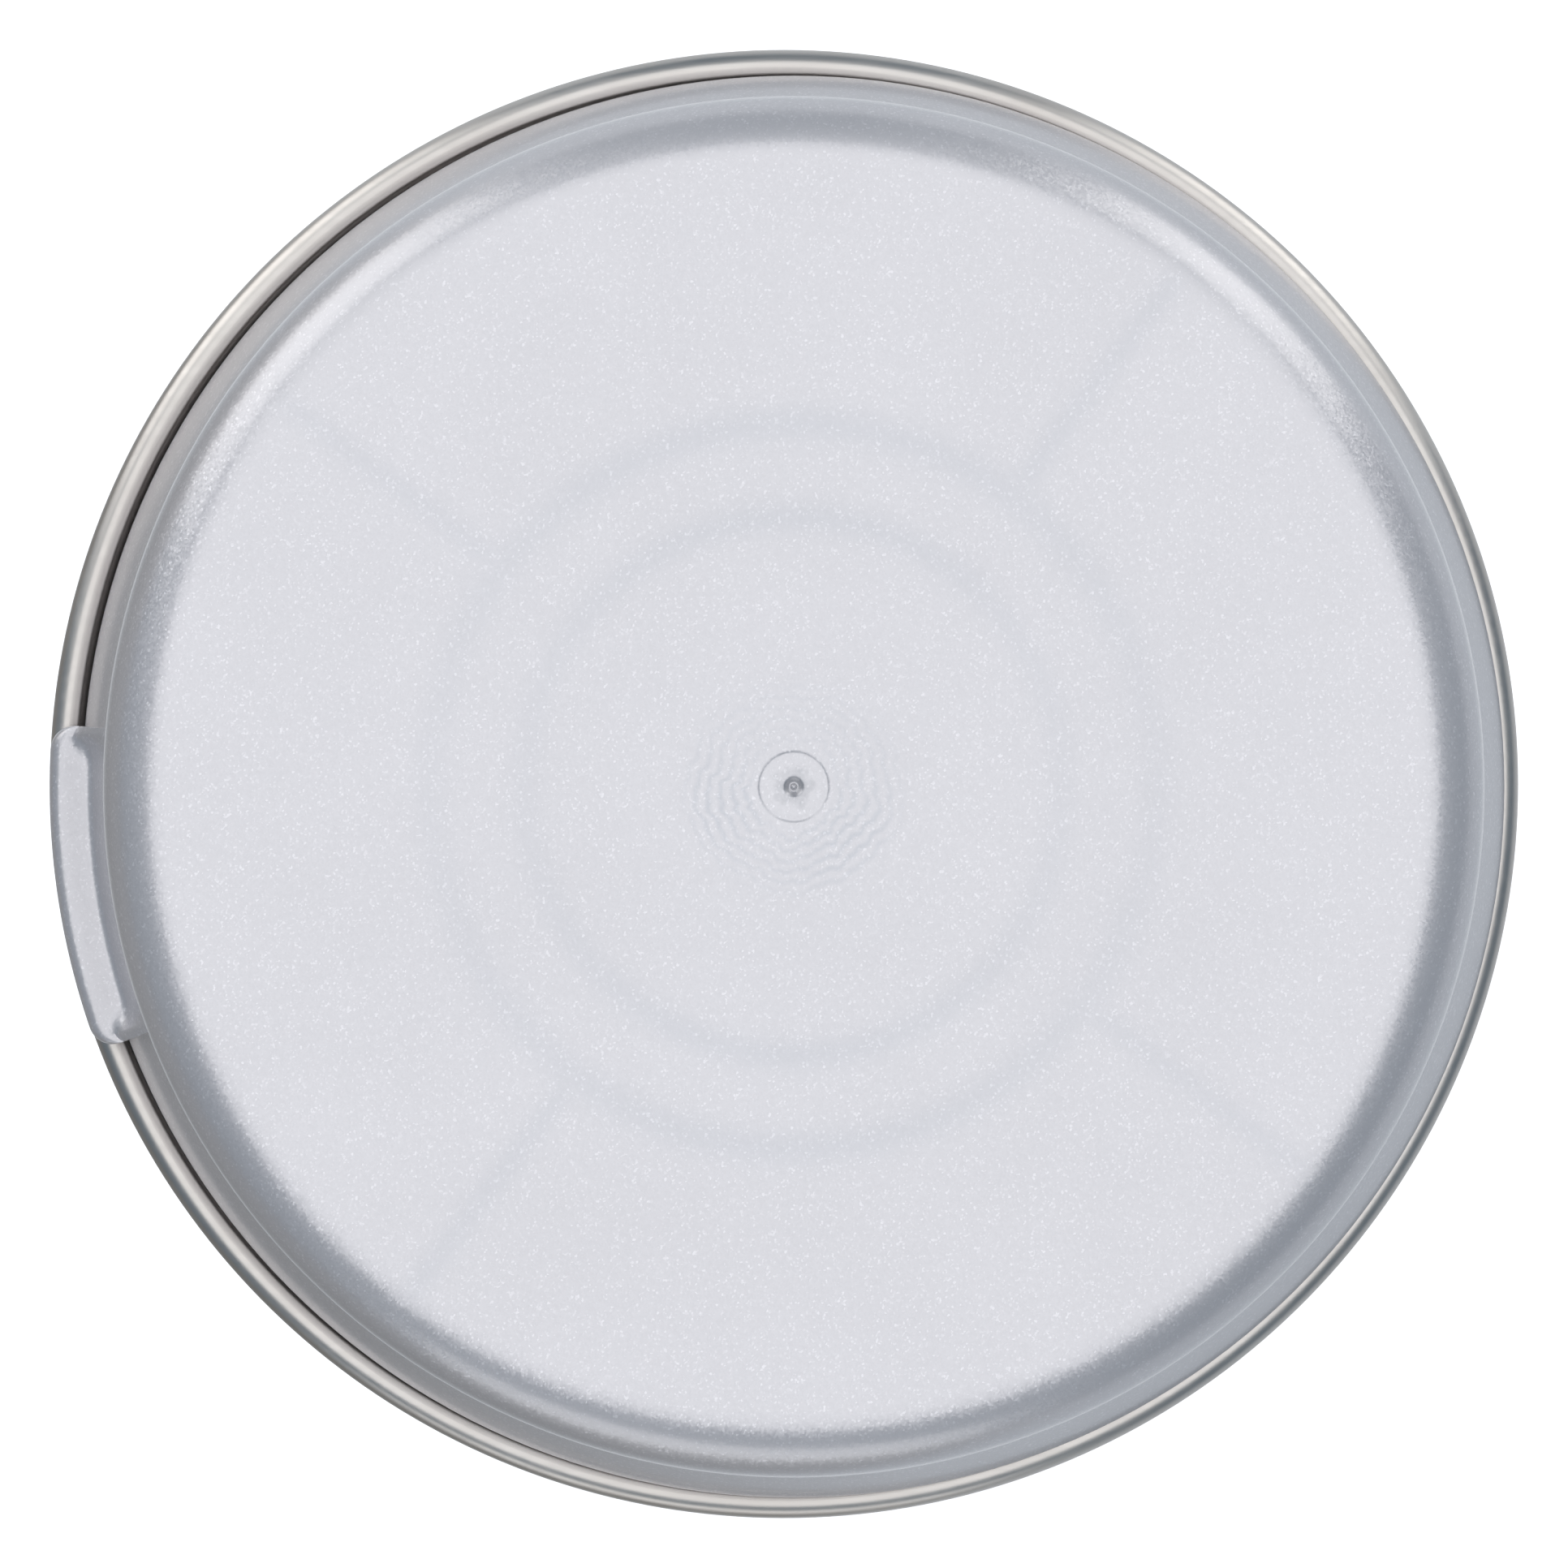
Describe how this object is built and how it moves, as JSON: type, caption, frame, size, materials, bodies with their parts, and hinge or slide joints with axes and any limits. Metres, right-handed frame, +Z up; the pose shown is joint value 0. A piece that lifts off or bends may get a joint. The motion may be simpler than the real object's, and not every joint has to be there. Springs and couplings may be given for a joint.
{
  "type": "aerosol paint can",
  "caption": "Aerosol paint can with a domed top, press-down spray button, dip tube, loose mixing ball and a pearl overcap with a thumb tab.",
  "frame": {"origin": "centre of the base, at the height of the bottom seam's lower edge", "axes": "+Z up along the can's axis, -Y where the nozzle sprays, -X towards the cap's thumb tab"},
  "size_m": [0.0678, 0.0678, 0.2],
  "materials": {
    "printed_tinplate": "white base coat with a plain colour band, gloss varnish",
    "bare_tinplate": "bright tinplate, fine rolling lines",
    "seaming_compound": "dull grey-beige",
    "gasket_rubber": "dull black",
    "valve_plastic": "natural moulded, slightly glossy",
    "spring_steel": "drawn wire",
    "tube_plastic": "translucent natural",
    "button_plastic": "white moulded, satin",
    "nozzle_plastic": "black moulded, satin",
    "pearl_plastic": "silver pearl, moulded, with fine flakes",
    "ball_steel": "ground and polished"
  },
  "bodies": {
    "can": {"can_body": "printed_tinplate", "can_dome": "bare_tinplate", "can_bottom": "bare_tinplate", "top_seam_sealant": "seaming_compound", "bottom_seam_sealant": "seaming_compound", "mounting_cup": "bare_tinplate", "cup_gasket": "gasket_rubber", "stem_gasket": "gasket_rubber", "valve_housing": "valve_plastic", "valve_spring": "spring_steel", "dip_tube": "tube_plastic"},
    "valve": {"valve_stem": "valve_plastic"},
    "button": {"actuator_button": "button_plastic", "nozzle_insert": "nozzle_plastic"},
    "cap": {"overcap": "pearl_plastic"},
    "ball": {"agitator_ball": "ball_steel"}
  },
  "joints": [
    {"name": "cap_lift", "type": "slide", "parent": "can", "child": "cap", "axis": [0, 0, 1], "range_m": [0, 0.055]},
    {"name": "button_press", "type": "slide", "parent": "can", "child": "valve", "axis": [0, 0, -1], "range_m": [0, 0.0015], "stiffness_N_per_m": 3000, "springref_m": -0.002, "deforming": ["valve_spring"]},
    {"name": "button_turn", "type": "hinge", "parent": "valve", "child": "button", "pos_m": [0, 0, 0.1886], "axis": [0, 0, 1], "continuous": true},
    {"name": "ball_rattle", "type": "slide", "parent": "can", "child": "ball", "axis": [0, 0, 1], "range_m": [0, 0.137]}
  ]
}
